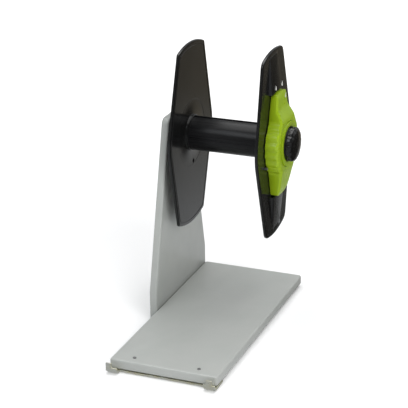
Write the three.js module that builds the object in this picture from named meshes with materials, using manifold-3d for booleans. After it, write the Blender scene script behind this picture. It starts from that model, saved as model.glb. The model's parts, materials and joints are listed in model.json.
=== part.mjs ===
// Spool holder stand: a sheet-metal base and upright carrying a horizontal spindle.
// The spindle turns on a fixed shaft; an inner guide flange is fixed to it and an
// outer guide flange slides along it and is clamped by turning a lock ring.
//
// Design frame (mm): x along the spindle from the upright's spool-side face,
// y along the base from its front edge to its back edge, z up from the floor.
// The last lines move the origin to the bottom centre of the whole object's box.

import * as THREE from "three";
import { mergeVertices } from "three/addons/utils/BufferGeometryUtils.js";
import Module from "manifold-3d";

const wasm = await Module();
wasm.setup();

// ---------------------------------------------------------------- driving sizes
const GAP = 0.2;                  // clearance left between pieces that touch
const SHEET = 1.5;                // sheet steel thickness

const BASE = { width: 124, length: 281, bottom: 3, top: 14, lip: 14, corner: 3 };
const FOOT = { radius: 6, inset: 9, front: 28, back: 268 };

const UPRIGHT = {
  front: 129, back: 281,          // y limits of the straight lower part
  straightTop: 35.8,              // z where the taper starts
  top: 229.7, taper: 0.2324,      // each side leans in by this much per mm of height
  depth: 8.3, corner: 8,
};

const AXLE = { y: 204.7, z: 206.7, radius: 19.6, wall: 2.5, start: 15.5, end: 134 };
const KEYWAY = { width: 4.8, depth: 1.4 };
const PARTING_GROOVE = { width: 0.9, depth: 0.5 };
const SHAFT = { radius: 6, start: -7.9, end: 133.6, plateRadius: 22, plateEnd: 3.5 };

// Guide flange outlines: tip arc, straight sides that lean in from the widest point,
// rounded corners. The bore sits this much above the outline's centre (drop).
const INNER_WING = { tip: 107.2, half: 66.4, lean: 0.281, corner: 4, middle: 45, drop: 1.4 };
const OUTER_WING = { tip: 109.2, half: 59.8, lean: 0.258, corner: 10.5, middle: 45, drop: 1.4 };
const INNER_FLANGE = { back: 12.2, face: 15.2, turned: -2 };
const OUTER_FLANGE = { back: 111.8, face: 115, turned: 3.6, spineTop: 119 };

const STOP_HUB = { bore: 21.1, outside: 22.8, end: 131 };
const COLLET = { inside: 19.75, outside: 20.9, start: 109.4, end: 130.6, slit: 3 };
const PAD = { width: 8, start: 119, end: 125, inner: 21, outer: 22.9, travel: 0.8 };
const RING = {
  back: 115.6, face: 131.2, tipFace: 123.3, lowTipFace: 124.6, radius: 36, bore: 23.1,
  tipRadius: 59.9, tipHalf: 15, tipLean: 0.27, turn: 20,
};
const CAP = { start: 134.2, rim: 138.6, end: 142.8, radius: 19.3 };
const HOOK = { width: 13, thickness: 1.5, reach: 4, bend: 3, top: 13, tongue: 6.5, spread: 0.5 };
const BRACKET = { top: 2.8, back: 16 };
const BRACKET_SCREWS = [25, 99.4];            // x places of the two screws in the base top
const BRACKET_SCREW_Y = 10.8;
const FOOT_SCREWS = [148, 205, 262];          // y places of the upright's fixing screws
const FOOT_SCREW_Z = 8.5;

// ---------------------------------------------------------------- materials
const material = (colour, roughness, metalness) =>
  new THREE.MeshStandardMaterial({ color: colour, roughness, metalness });
const GREY_PAINT = material(0xaeb2ae, 0.5, 0.1);
const BLACK_GLOSS = material(0x17181a, 0.25, 0);
const BLACK_SATIN = material(0x222325, 0.45, 0);
const GREEN = material(0x93b81e, 0.35, 0);
const ZINC = material(0xb3b08c, 0.35, 0.9);
const STEEL = material(0x8f9296, 0.35, 1);
const RUBBER = material(0x1b1b1b, 0.9, 0);
const BRONZE = material(0x9c7440, 0.4, 0.9);
const FELT = material(0x5d5f62, 1, 0);
const WHITE_MARK = material(0xe9e9e4, 0.5, 0);

// ---------------------------------------------------------------- solids
const toSolid = (geometry) => {
  const bare = geometry.clone();
  bare.deleteAttribute("normal");
  bare.deleteAttribute("uv");
  const merged = mergeVertices(bare, 1e-4);
  return new wasm.Manifold(new wasm.Mesh({
    numProp: 3,
    vertProperties: new Float32Array(merged.attributes.position.array),
    triVerts: new Uint32Array(merged.index.array),
  }));
};

const toGeometry = (solid) => {
  const mesh = solid.getMesh();
  const geometry = new THREE.BufferGeometry();
  geometry.setAttribute("position", new THREE.BufferAttribute(mesh.vertProperties, 3));
  geometry.setIndex(new THREE.BufferAttribute(mesh.triVerts, 1));
  return geometry;
};

const cut = (solid, ...tools) => tools.reduce((left, tool) => left.subtract(tool), solid);
const join = (...solids) => solids.reduce((sum, next) => sum.add(next));

const box = (x0, y0, z0, x1, y1, z1) => {
  const geometry = new THREE.BoxGeometry(x1 - x0, y1 - y0, z1 - z0);
  geometry.translate((x0 + x1) / 2, (y0 + y1) / 2, (z0 + z1) / 2);
  return toSolid(geometry);
};

// A solid of revolution about the x axis through (y, z); profile points are [x, radius].
const turned = (profile, { y = 0, z = 0, segments = 32 } = {}) => {
  let area = 0;
  profile.forEach(([x, r], i) => {
    const [nextX, nextR] = profile[(i + 1) % profile.length];
    area += x * nextR - nextX * r;
  });
  const ordered = area > 0 ? [...profile].reverse() : [...profile];
  if (ordered.every(([, r]) => r > 0)) ordered.push(ordered[0]);
  const points = ordered.map(([x, r]) => new THREE.Vector2(r, x));
  const geometry = new THREE.LatheGeometry(points, segments);
  geometry.rotateZ(-Math.PI / 2);
  geometry.translate(0, y, z);
  return toSolid(geometry);
};

const rod = (x0, x1, radius, place) => turned([[x0, 0], [x0, radius], [x1, radius], [x1, 0]], place);
const tube = (x0, x1, inside, outside, place) =>
  turned([[x0, inside], [x0, outside], [x1, outside], [x1, inside]], place);

// A post along z at (x, y); profile points are [z, radius].
const post = (profile, x, y, segments = 24) => {
  const upright = turned(profile, { segments });
  return upright.rotate([0, -90, 0]).translate([x, y, 0]);
};

// A flat shape drawn in (y, z) and given thickness from x0 to x1.
const plateAcross = (shape, x0, x1, curveSegments = 5) => {
  const geometry = new THREE.ExtrudeGeometry(shape, {
    depth: x1 - x0, bevelEnabled: false, curveSegments,
  });
  const yzx = new THREE.Matrix4().makeBasis(
    new THREE.Vector3(0, 1, 0), new THREE.Vector3(0, 0, 1), new THREE.Vector3(1, 0, 0));
  geometry.applyMatrix4(yzx);
  geometry.translate(x0, 0, 0);
  return toSolid(geometry);
};

// A flat shape drawn in (x, y) and given thickness from z0 to z1.
const plateFlat = (shape, z0, z1, curveSegments = 4) => {
  const geometry = new THREE.ExtrudeGeometry(shape, {
    depth: z1 - z0, bevelEnabled: false, curveSegments,
  });
  geometry.translate(0, 0, z0);
  return toSolid(geometry);
};

const polygon = (points) => new THREE.Shape(points.map(([a, b]) => new THREE.Vector2(a, b)));

const roundedRectangle = (x0, y0, x1, y1, radius) => {
  const shape = new THREE.Shape();
  shape.absarc(x1 - radius, y0 + radius, radius, -Math.PI / 2, 0);
  shape.absarc(x1 - radius, y1 - radius, radius, 0, Math.PI / 2);
  shape.absarc(x0 + radius, y1 - radius, radius, Math.PI / 2, Math.PI);
  shape.absarc(x0 + radius, y0 + radius, radius, Math.PI, 1.5 * Math.PI);
  return shape;
};

const degrees = (angle) => (angle * Math.PI) / 180;
const aroundAxle = (radius, angle) => ({
  y: radius * Math.cos(degrees(angle)), z: radius * Math.sin(degrees(angle)),
});
const turnedBy = (solid, angle) => solid.rotate([angle, 0, 0]);

// ---------------------------------------------------------------- scene graph
const stand = new THREE.Group();
const spindle = new THREE.Group();            // everything drawn about the axle's own axis
spindle.position.set(0, AXLE.y, AXLE.z);
stand.add(spindle);

const place = (group, name, solid, look) => {
  const piece = new THREE.Mesh(toGeometry(solid), look);
  piece.name = name;
  group.add(piece);
};

// ---------------------------------------------------------------- base
const baseOutline = (inset) => roundedRectangle(
  GAP + inset, inset, BASE.width - inset, BASE.length - inset,
  Math.max(BASE.corner - inset, 0.8));

const basePan = () => {
  const body = plateFlat(baseOutline(0), BASE.bottom, BASE.top);
  const hollow = plateFlat(baseOutline(SHEET), BASE.bottom + SHEET, BASE.top - SHEET);
  const mouth = plateFlat(baseOutline(BASE.lip), BASE.bottom - 1, BASE.bottom + SHEET + 1);
  const screwHoles = BRACKET_SCREWS.map((x) =>
    post([[0, 0], [0, 1.9], [20, 1.9], [20, 0]], x, BRACKET_SCREW_Y, 14));
  const fixingHoles = FOOT_SCREWS.map((y) =>
    rod(-1, SHEET + 2, 1.9, { y, z: FOOT_SCREW_Z, segments: 14 }));
  return cut(body, hollow, mouth, ...screwHoles, ...fixingHoles);
};
place(stand, "base_pan", basePan(), GREY_PAINT);

const footPlaces = {
  front_left: [FOOT.inset, FOOT.front], front_right: [BASE.width - FOOT.inset, FOOT.front],
  back_left: [FOOT.inset, FOOT.back], back_right: [BASE.width - FOOT.inset, FOOT.back],
};
for (const [corner, [x, y]] of Object.entries(footPlaces)) {
  const top = BASE.bottom - 0.1;
  const profile = [[0, 0], [0, FOOT.radius - 0.8], [0.8, FOOT.radius], [top, FOOT.radius], [top, 0]];
  place(stand, `foot_${corner}`, post(profile, x, y), RUBBER);
}

// ---------------------------------------------------------------- upright
// Outline in (y, z); inset moves every edge inwards, drop lowers the bottom edge.
const uprightOutline = (inset, drop) => {
  const lean = Math.hypot(1, UPRIGHT.taper);
  const side = inset * lean;                  // sideways shift that keeps the wall thickness
  const bottom = BASE.bottom - drop;
  const top = UPRIGHT.top - inset;
  const halfway = (UPRIGHT.front + UPRIGHT.back) / 2;
  const half = (UPRIGHT.back - UPRIGHT.front) / 2;
  const radius = UPRIGHT.corner - inset;
  const halfAt = (z) => half - side - UPRIGHT.taper * (z - UPRIGHT.straightTop);
  const bend = UPRIGHT.straightTop + (side - inset) / -UPRIGHT.taper;
  const tilt = Math.atan(UPRIGHT.taper);
  const centreZ = top - radius;
  const centreY = halfAt(centreZ) - radius * lean;
  const shape = new THREE.Shape();
  shape.moveTo(halfway - half + inset, bottom);
  shape.lineTo(halfway + half - inset, bottom);
  shape.lineTo(halfway + half - inset, bend);
  shape.absarc(halfway + centreY, centreZ, radius, tilt, Math.PI / 2);
  shape.absarc(halfway - centreY, centreZ, radius, Math.PI / 2, Math.PI - tilt);
  shape.lineTo(halfway - half + inset, bend);
  return shape;
};

const uprightPanel = () => {
  const body = plateAcross(uprightOutline(0, 0), -UPRIGHT.depth, 0);
  const hollow = plateAcross(uprightOutline(SHEET, 4), -UPRIGHT.depth - 1, -SHEET);
  const shaftHole = rod(-3, 1, SHAFT.radius + 0.3, { y: AXLE.y, z: AXLE.z });
  const plateHoles = [0, 180].map((angle) => {
    const at = aroundAxle(15, angle);
    return rod(-3, 1, 1.7, { y: AXLE.y + at.y, z: AXLE.z + at.z, segments: 14 });
  });
  const fixingHoles = FOOT_SCREWS.map((y) =>
    rod(-3, 1, 1.9, { y, z: FOOT_SCREW_Z, segments: 14 }));
  return cut(body, hollow, shaftHole, ...plateHoles, ...fixingHoles);
};
place(stand, "upright_panel", uprightPanel(), GREY_PAINT);

// Screws with the head on the outside of the upright and a clinch nut in the base skirt.
FOOT_SCREWS.forEach((y, i) => {
  const head = -SHEET - 0.1;
  const screw = turned([
    [head - 2, 0], [head - 2, 2.2], [head - 1.4, 3], [head, 3], [head, 1.45], [5.6, 1.45], [5.6, 0],
  ], { y, z: FOOT_SCREW_Z, segments: 14 });
  const nut = tube(GAP + SHEET + 0.1, GAP + SHEET + 2.4, 1.6, 3.4,
    { y, z: FOOT_SCREW_Z, segments: 14 });
  place(stand, `upright_screw_${i + 1}`, screw, STEEL);
  place(stand, `clinch_nut_${i + 1}`, nut, STEEL);
});

// ---------------------------------------------------------------- docking bracket
// Strip under the front edge of the base; each end curls forwards and up into a hook.
const HOOK_FRONT = -HOOK.reach - HOOK.bend - HOOK.thickness;    // furthest point forward (y)
const hookProfile = (top) => {
  const low = BRACKET.top - HOOK.thickness;
  const centreY = -HOOK.reach;
  const centreZ = BRACKET.top + HOOK.bend;
  const shape = new THREE.Shape();
  shape.moveTo(4, BRACKET.top);
  shape.lineTo(4, low);
  shape.absarc(centreY, centreZ, HOOK.bend + HOOK.thickness, 1.5 * Math.PI, Math.PI, true);
  shape.lineTo(HOOK_FRONT, top);
  shape.lineTo(HOOK_FRONT + HOOK.thickness, top);
  shape.absarc(centreY, centreZ, HOOK.bend, Math.PI, 1.5 * Math.PI);
  return shape;
};

const dockingBracket = () => {
  const low = BRACKET.top - HOOK.thickness;
  const left = -HOOK.spread;
  const right = BASE.width + HOOK.spread;
  const strip = box(left, -1, low, right, BRACKET.back, BRACKET.top);
  const barrelTop = BRACKET.top + HOOK.bend + 2;
  const hooks = [[left, left], [right - HOOK.width, right - HOOK.width + 3]].map(
    ([start, tongue]) => join(
      plateAcross(hookProfile(barrelTop), start, start + HOOK.width),
      plateAcross(hookProfile(HOOK.top), tongue, tongue + HOOK.tongue)));
  const holes = BRACKET_SCREWS.map((x) =>
    post([[0, 0], [0, 1.9], [4, 1.9], [4, 0]], x, BRACKET_SCREW_Y, 14));
  return cut(join(strip, ...hooks), ...holes);
};
place(stand, "docking_bracket", dockingBracket(), ZINC);

BRACKET_SCREWS.forEach((x, i) => {
  const seat = BASE.top + 0.1;
  const screw = post([
    [1, 0], [1, 1.45], [seat, 1.45], [seat, 2], [seat + 0.7, 1.75], [seat + 0.9, 1.4],
    [seat + 0.9, 0],
  ], x, BRACKET_SCREW_Y, 14);
  const low = BASE.bottom + SHEET + 0.1;
  const high = BASE.top - SHEET - 0.1;
  const spacer = post([[low, 1.9], [low, 3.5], [high, 3.5], [high, 1.9]], x, BRACKET_SCREW_Y, 14);
  place(stand, `bracket_screw_${i + 1}`, screw, STEEL);
  place(stand, `bracket_spacer_${i + 1}`, spacer, STEEL);
});

// ---------------------------------------------------------------- fixed shaft and brake
const spindleShaft = () => {
  const r = SHAFT.radius;
  const body = turned([
    [SHAFT.start, 0], [SHAFT.start, r - 0.5], [SHAFT.start + 0.5, r], [0.1, r],
    [0.1, SHAFT.plateRadius], [SHAFT.plateEnd, SHAFT.plateRadius], [SHAFT.plateEnd, r],
    [SHAFT.end - 0.6, r], [SHAFT.end, r - 0.6], [SHAFT.end, 0],
  ]);
  const screwSeats = [0, 180].map((angle) => turned([
    [-1, 0], [-1, 1.7], [1.8, 1.7], [SHAFT.plateEnd + 0.01, 3.4], [SHAFT.plateEnd + 1, 3.4],
    [SHAFT.plateEnd + 1, 0],
  ], { ...aroundAxle(15, angle), segments: 14 }));
  return cut(body, ...screwSeats);
};
place(spindle, "spindle_shaft", spindleShaft(), STEEL);

[0, 180].forEach((angle, i) => {
  const face = SHAFT.plateEnd;
  const screw = turned([
    [-5.5, 0], [-5.5, 1.4], [1.8, 1.4], [face - 0.2, 3], [face, 3], [face, 0],
  ], { ...aroundAxle(15, angle), segments: 14 });
  place(spindle, `plate_screw_${i + 1}`, screw, STEEL);
});

const washerBack = -SHEET - 0.1 - 1.5;
place(spindle, "shaft_washer", tube(washerBack, -SHEET - 0.1, SHAFT.radius + 0.2, 12), STEEL);

const hexNut = (x0, x1, acrossFlats) => {
  const hexagon = turned(
    [[x0, 0], [x0, acrossFlats / Math.sqrt(3)], [x1, acrossFlats / Math.sqrt(3)], [x1, 0]],
    { segments: 6 });
  return cut(hexagon, rod(x0 - 1, x1 + 1, SHAFT.radius + 0.1));
};
place(spindle, "shaft_nut", hexNut(washerBack - 0.1 - 4, washerBack - 0.1, 18), STEEL);

const felt = { start: SHAFT.plateEnd + 0.1, end: 6.4 };
place(spindle, "brake_felt", tube(felt.start, felt.end, SHAFT.radius + 0.3, 11), FELT);

const plugEnd = 122;
place(spindle, "thrust_washer", tube(plugEnd + 0.1, plugEnd + 1.3, SHAFT.radius + 0.2, 10.5), STEEL);

// Two cone-shaped spring washers, small rims together.
const coneSpring = (rim, nose) => {
  const thick = nose > rim ? 0.8 : -0.8;
  return turned([
    [rim, 11], [nose - thick, SHAFT.radius + 0.3], [nose, SHAFT.radius + 0.3], [rim + thick, 11],
  ]);
};
place(spindle, "cone_spring_1", coneSpring(plugEnd + 1.5, plugEnd + 3.6), STEEL);
place(spindle, "cone_spring_2", coneSpring(plugEnd + 6, plugEnd + 3.8), STEEL);
place(spindle, "tension_nut", hexNut(plugEnd + 6.3, plugEnd + 11.3, 18), STEEL);

// ---------------------------------------------------------------- spool body
const keyways = (x0, x1) => [1, -1].map((side) => {
  const floor = side * (AXLE.radius - KEYWAY.depth);
  const out = side * (AXLE.radius + 1);
  return box(x0, -KEYWAY.width / 2, Math.min(floor, out),
    x1, KEYWAY.width / 2, Math.max(floor, out));
});

const axleTube = () => {
  const bore = AXLE.radius - AXLE.wall;
  const wall = tube(AXLE.start, AXLE.end, bore, AXLE.radius, { segments: 48 });
  const lines = [1, -1].map((side) => {
    const floor = side * (AXLE.radius - PARTING_GROOVE.depth);
    const out = side * (AXLE.radius + 1);
    return box(AXLE.start - 1, Math.min(floor, out), -PARTING_GROOVE.width / 2,
      AXLE.end + 1, Math.max(floor, out), PARTING_GROOVE.width / 2);
  });
  return cut(wall, ...keyways(AXLE.start - 1, AXLE.end + 1), ...lines);
};
place(spindle, "axle_tube", axleTube(), BLACK_SATIN);

const flangeScrewAngles = [90, 210, 330];
const hubFace = INNER_FLANGE.back - 0.1;
const tubeBore = AXLE.radius - AXLE.wall - 0.1;
const axleHub = () => {
  const body = turned([
    [6.6, 8.15], [6.6, 25], [hubFace, 25], [hubFace, tubeBore], [38, tubeBore], [38, 8.15],
  ]);
  const seats = flangeScrewAngles.map((angle) => turned([
    [6, 0], [6, 2.9], [7.6, 2.9], [8.6, 1.7], [20, 1.7], [20, 0],
  ], { ...aroundAxle(21, angle), segments: 14 }));
  return cut(body, ...seats);
};
place(spindle, "axle_hub", axleHub(), BLACK_SATIN);
place(spindle, "inner_bush", tube(6.8, 24, SHAFT.radius + 0.1, 8, { segments: 48 }), BRONZE);

flangeScrewAngles.forEach((angle, i) => {
  const screw = turned([
    [6.7, 0], [6.7, 2.6], [7.5, 2.6], [8.6, 1.4], [14, 1.4], [14, 0],
  ], { ...aroundAxle(21, angle), segments: 14 });
  place(spindle, `flange_screw_${i + 1}`, screw, STEEL);
});

place(spindle, "end_plug", tube(110, plugEnd, 8.15, tubeBore), BLACK_SATIN);
place(spindle, "outer_bush", tube(110, plugEnd - 0.1, SHAFT.radius + 0.1, 8), BRONZE);

// Guide flange outline in (y, z), moved inwards by inset.
const wingShape = ({ tip, half, lean, corner, middle, drop = 0 }, inset = 0) => {
  const slant = Math.hypot(1, lean);
  const reach = tip - inset;
  const round = Math.max(corner - inset, 1);
  const distance = half / slant - inset;      // from the axle to the straight side
  const normal = Math.atan(lean);
  const along = Math.sqrt((reach - round) ** 2 - (distance - round) ** 2);
  const cornerY = Math.cos(normal) * (distance - round) - Math.sin(normal) * along;
  const cornerZ = Math.sin(normal) * (distance - round) + Math.cos(normal) * along;
  const end = Math.atan2(cornerZ, cornerY);
  const bulge = (distance - middle) * slant;  // centre of the rounding at the widest point
  const shape = new THREE.Shape();
  shape.absarc(bulge, -drop, middle, -normal, normal);
  shape.absarc(cornerY, cornerZ - drop, round, normal, end);
  shape.absarc(0, -drop, reach, end, Math.PI - end);
  shape.absarc(-cornerY, cornerZ - drop, round, Math.PI - end, Math.PI - normal);
  shape.absarc(-bulge, -drop, middle, Math.PI - normal, Math.PI + normal);
  shape.absarc(-cornerY, -cornerZ - drop, round, Math.PI + normal, Math.PI + end);
  shape.absarc(0, -drop, reach, Math.PI + end, 2 * Math.PI - end);
  shape.absarc(cornerY, -cornerZ - drop, round, -end, -normal);
  return shape;
};

const innerFlange = () => {
  const { back, face, turned: angle } = INNER_FLANGE;
  const plate = plateAcross(wingShape(INNER_WING), back, face);
  const groove = cut(
    plateAcross(wingShape(INNER_WING, 4), face - 0.6, face + 1),
    plateAcross(wingShape(INNER_WING, 5.4), face - 1, face + 2));
  const collar = tube(face - 1, face + 3.5, 17, AXLE.radius + 1.4, { segments: 48 });
  const bore = rod(back - 1, face + 5, tubeBore + 0.2);
  const socket = rod(face, face + 5, AXLE.radius + 0.15, { segments: 48 });
  const screwHoles = flangeScrewAngles.map((a) =>
    rod(back - 1, face - 0.8, 1.6, { ...aroundAxle(21, a - angle), segments: 14 }));
  const eye = rod(back - 1, face + 1, 1.3, { ...aroundAxle(35.8, -84 - angle), segments: 12 });
  return turnedBy(cut(join(cut(plate, groove), collar), bore, socket, ...screwHoles, eye), angle);
};
place(spindle, "inner_flange", innerFlange(), BLACK_GLOSS);

const endCap = () => {
  const dome = [0, 24, 48, 72].map((a) => [
    CAP.rim + (CAP.end - CAP.rim) * Math.sin(degrees(a)),
    CAP.radius - 5.5 + 5.5 * Math.cos(degrees(a)),
  ]);
  const body = turned([
    [CAP.end - 3, 0], [CAP.end - 3, 14.2], [127.6, 14.2], [127.6, tubeBore],
    [CAP.start, tubeBore], [CAP.start, CAP.radius], ...dome, [CAP.end, 11], [CAP.end, 0],
  ]);
  const flutes = Array.from({ length: 12 }, (_, i) =>
    rod(CAP.start + 1.5, CAP.end + 1, 2.4, { ...aroundAxle(CAP.radius + 1.5, i * 30 + 15), segments: 12 }));
  return cut(body, ...flutes, ...keyways(CAP.start - 0.5, CAP.end + 1));
};
place(spindle, "axle_end_cap", endCap(), BLACK_GLOSS);

// ---------------------------------------------------------------- outer margin stop
// Split sleeve between the axle and the outer flange, keyed in the axle's upper keyway.
const gripCollet = () => {
  const { inside, outside, start, end, slit } = COLLET;
  const sleeve = turned([
    [start, inside], [start, 23.4], [start + 2, 23.4], [start + 2, outside], [end, outside],
    [end, inside],
  ], { segments: 48 });
  const key = box(start, -KEYWAY.width / 2 + 0.4, AXLE.radius - KEYWAY.depth + 0.4,
    end, KEYWAY.width / 2 - 0.4, inside + 0.6);
  return cut(join(sleeve, key), box(start - 1, -slit / 2, -30, end + 1, slit / 2, -10));
};
place(spindle, "grip_collet", gripCollet(), BLACK_SATIN);

// The two pads sit at the front and the rear of the hub (180 and 0 degrees).
const padAngles = { front: 180, rear: 0 };
const outerFlange = () => {
  const { back, face, turned: angle, spineTop } = OUTER_FLANGE;
  const plate = plateAcross(wingShape(OUTER_WING), back, face);
  const spineShape = wingShape({ tip: 98, half: 25, lean: 0.11, corner: 6, middle: 8 });
  const spine = cut(plateAcross(spineShape, face - 1, spineTop),
    rod(face, spineTop + 1, RING.tipRadius + 1, { segments: 48 }));
  const hub = rod(face - 1, STOP_HUB.end, STOP_HUB.outside, { segments: 48 });
  const clipGroove = tube(129, 130.1, 21.9, 23.4, { segments: 48 });
  const bore = rod(back - 1, STOP_HUB.end + 1, STOP_HUB.bore, { segments: 48 });
  const windows = Object.values(padAngles).map((a) => turnedBy(
    box(PAD.start - 0.3, 15, -PAD.width / 2 - 0.3, PAD.end + 0.3, 30, PAD.width / 2 + 0.3), a));
  return join(
    turnedBy(cut(join(plate, spine), bore), angle),
    cut(hub, bore, clipGroove, ...windows));
};
place(spindle, "outer_flange", outerFlange(), BLACK_GLOSS);

for (const [side, angle] of Object.entries(padAngles)) {
  const ring = tube(PAD.start, PAD.end, PAD.inner, PAD.outer, { segments: 48 });
  const pad = ring.intersect(box(PAD.start, 15, -PAD.width / 2, PAD.end, 30, PAD.width / 2));
  place(spindle, `clamp_pad_${side}`, turnedBy(pad, angle), BLACK_SATIN);
}

const stopPinAngles = { locked: 212.3, released: 330 };
for (const [state, angle] of Object.entries(stopPinAngles)) {
  const at = aroundAxle(38.6, angle);
  const pin = turned([
    [OUTER_FLANGE.face + 0.1, 0], [OUTER_FLANGE.face + 0.1, 1.6], [118.2, 1.6], [118.6, 1.2],
    [118.6, 0],
  ], { ...at, segments: 12 });
  place(spindle, `stop_pin_${state}`, pin, STEEL);
}

// Snap collar: its lip sits in the groove of the hub and its skirt holds the lock ring.
const ringRetainer = () => join(
  tube(129.1, 130, 22, 23.2, { segments: 48 }),
  tube(129.1, 132.4, 23, 25.4, { segments: 48 }),
  tube(131.2, 132.4, 20.1, 25.4, { segments: 48 }));
place(spindle, "ring_retainer", ringRetainer(), GREEN);

// Drop-shaped index marks: a round end and a point towards the tip.
const dropMark = (x0, x1, y, z, angle) => {
  const shape = new THREE.Shape();
  shape.absarc(0, 0, 1.3, Math.PI, 2 * Math.PI);
  shape.lineTo(0, 4.4);
  return turnedBy(plateAcross(shape, x0, x1), angle).translate([0, y, z]);
};
const mark = { top: OUTER_FLANGE.spineTop, radius: 65 };
for (const [name, angle] of Object.entries({ released: 98, locked: 80 })) {
  const at = aroundAxle(mark.radius, angle);
  place(spindle, `mark_${name}`,
    dropMark(mark.top + 0.02, mark.top + 0.4, at.y, at.z, angle - 90), WHITE_MARK);
}

// ---------------------------------------------------------------- lock ring
const tabShape = () => {
  const { tipRadius: reach, tipHalf: half, tipLean: lean } = RING;
  const tipZ = Math.sqrt(reach ** 2 - half ** 2);
  const waist = half + lean * tipZ;
  const end = Math.atan2(tipZ - 1, half + 0.27);
  const shape = new THREE.Shape();
  shape.moveTo(waist, 0);
  shape.absarc(0, 0, reach, end, Math.PI - end);
  shape.lineTo(-waist, 0);
  shape.absarc(0, 0, reach, Math.PI + end, 2 * Math.PI - end);
  return shape;
};

// Side view in (x, z), drawn through the whole width: thick middle, thin tips.
const ringSide = () => {
  const { back, face, tipFace, lowTipFace, tipRadius: reach } = RING;
  const half = [[back, -reach - 1], [back, reach + 1], [tipFace, reach + 1], [tipFace + 0.8, 44],
    [face, 28], [face, -28], [lowTipFace, -reach - 1]];
  const geometry = new THREE.ExtrudeGeometry(polygon(half), { depth: 120, bevelEnabled: false });
  geometry.translate(0, 0, -60);
  geometry.rotateX(Math.PI / 2);
  return toSolid(geometry);
};

// Spiral pocket in the bore: the ring pushes a pad in, or lets it back out, as it turns.
const camPocket = () => {
  const padHalf = (Math.asin(PAD.width / 2 / PAD.outer) * 180) / Math.PI;
  const low = RING.bore - 0.05;
  const points = [[15, 0]];
  for (let step = 0; step <= 8; step += 1) {
    const angle = padHalf + 1 - step * (RING.turn / 8);
    const radius = low + (PAD.travel + 0.15) * (step / 8);
    points.push([radius * Math.cos(degrees(angle)), radius * Math.sin(degrees(angle))]);
  }
  const deep = low + PAD.travel + 0.15;
  for (let step = 1; step <= 4; step += 1) {
    const angle = padHalf + 1 - RING.turn - step * ((2 * padHalf + 3) / 4);
    points.push([deep * Math.cos(degrees(angle)), deep * Math.sin(degrees(angle))]);
  }
  return plateAcross(polygon(points.reverse()), PAD.start - 1, PAD.end + 1);
};

const lockRing = () => {
  const { back, face, radius, bore } = RING;
  const disc = rod(back, face, radius, { segments: 60 });
  const tabs = plateAcross(tabShape(), back, face, 8);
  const ears = [38.5, 218.5].map((a) =>
    rod(back, face, 3, { ...aroundAxle(35.6, a), segments: 14 }));
  const body = join(disc, tabs, ...ears).intersect(ringSide());
  const scallops = [-36, -18, 0, 18, 36].flatMap((a) => [a, a + 180]).map((a) =>
    rod(back - 1, face + 1, 5, { ...aroundAxle(radius + 3.6, a), segments: 14 }));
  const hole = rod(back - 1, face + 1, bore, { segments: 48 });
  const clipSeat = rod(128.8, face + 1, 25.8, { segments: 48 });
  const hollow = tube(back - 1, face - 3.5, 26.9, 31.5, { segments: 48 });
  const pockets = Object.values(padAngles).map((a) => turnedBy(camPocket(), a));
  return cut(body, ...scallops, hole, clipSeat, hollow, ...pockets);
};
place(spindle, "lock_ring", lockRing(), GREEN);

const ringMark = () => {
  const at = aroundAxle(52.5, 80);
  const drop = dropMark(RING.tipFace + 0.62, RING.tipFace + 0.9, at.y, at.z, -10);
  return drop;
};
place(spindle, "ring_mark", ringMark(), WHITE_MARK);

// ---------------------------------------------------------------- origin
stand.position.set(
  -(CAP.end - UPRIGHT.depth) / 2,
  -(BASE.length + HOOK_FRONT) / 2,
  0);

const whole = new THREE.Group();
whole.add(stand);
whole.name = "spool_holder_stand";
export default whole;
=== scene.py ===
"""Spool holder stand: the looks of the object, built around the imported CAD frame.

Lengths in this script are millimetres in the stand's own design frame until they
reach at(), which turns them into metres in the CAD frame. x runs along the spindle from the
upright's face, y from the base's front skirt to the back, z up from the floor.
"""
import json
import math

import bmesh
import bpy
from mathutils import Matrix, Vector


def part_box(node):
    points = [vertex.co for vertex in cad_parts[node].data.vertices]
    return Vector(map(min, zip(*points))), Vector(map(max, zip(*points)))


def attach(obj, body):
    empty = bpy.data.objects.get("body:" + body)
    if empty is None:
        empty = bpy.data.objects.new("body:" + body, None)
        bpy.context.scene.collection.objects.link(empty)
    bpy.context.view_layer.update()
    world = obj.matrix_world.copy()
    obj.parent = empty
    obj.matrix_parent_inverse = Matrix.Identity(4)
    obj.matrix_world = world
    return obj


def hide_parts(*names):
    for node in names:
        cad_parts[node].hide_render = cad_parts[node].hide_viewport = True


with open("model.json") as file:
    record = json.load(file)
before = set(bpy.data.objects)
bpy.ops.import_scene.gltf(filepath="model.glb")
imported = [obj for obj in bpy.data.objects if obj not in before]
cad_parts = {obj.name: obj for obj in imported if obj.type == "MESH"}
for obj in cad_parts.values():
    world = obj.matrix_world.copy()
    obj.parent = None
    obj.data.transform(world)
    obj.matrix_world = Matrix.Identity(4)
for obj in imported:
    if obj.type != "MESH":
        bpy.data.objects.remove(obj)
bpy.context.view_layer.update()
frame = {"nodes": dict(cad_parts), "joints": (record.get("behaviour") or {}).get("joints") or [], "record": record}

MM = 0.001
FACE_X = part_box("upright_panel")[1].x                   # spool side of the upright
FRONT_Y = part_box("base_pan")[0].y                       # front skirt of the base
JOINTS = {joint["name"]: joint for joint in frame["joints"]}
SPINDLE = Vector(JOINTS["spool_spin"]["pos_m"])
AXIS_Y = (SPINDLE.y - FRONT_Y) / MM
AXIS_Z = SPINDLE.z / MM


def at(x, y, z):
    """A design point in millimetres as a point of the CAD frame in metres."""
    return Vector((FACE_X + x * MM, FRONT_Y + y * MM, z * MM))


def about_axis(x, radius, angle):
    """A point at this radius and angle (radians) round the spindle."""
    return at(x, AXIS_Y + radius * math.cos(angle), AXIS_Z + radius * math.sin(angle))


def design_box(node):
    """The low and the high corner of a CAD node, in design millimetres."""
    return [((corner.x - FACE_X) / MM, (corner.y - FRONT_Y) / MM, corner.z / MM)
            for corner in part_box(node)]


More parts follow.
